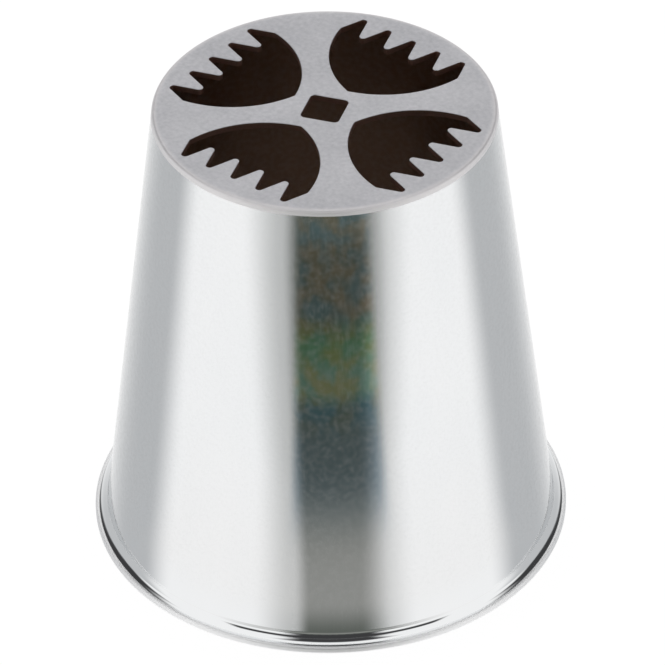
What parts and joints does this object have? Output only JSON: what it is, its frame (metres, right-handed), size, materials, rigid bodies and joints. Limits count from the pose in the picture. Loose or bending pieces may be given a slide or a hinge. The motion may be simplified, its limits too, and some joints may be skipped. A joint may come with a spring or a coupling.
{
  "type": "piping nozzle",
  "caption": "Welded steel piping nozzle: a tapered shell with a flared foot and a flat face pierced with notched petals and a square.",
  "frame": {"origin": "on the nozzle's axis, in the plane of its flared foot", "axes": "+Z along the axis from the foot to the pierced face; +X along the middle of one petal"},
  "size_m": [0.034, 0.034, 0.0347],
  "materials": {
    "cone_steel": "satin brushed stainless sheet",
    "face_steel": "matte, finely sanded stainless sheet",
    "seam_steel": "dressed stainless weld, blended into the face and the cone"
  },
  "bodies": {
    "root": {"cone_body": "cone_steel", "pattern_disc": "face_steel", "weld_seam": "seam_steel"}
  },
  "joints": []
}
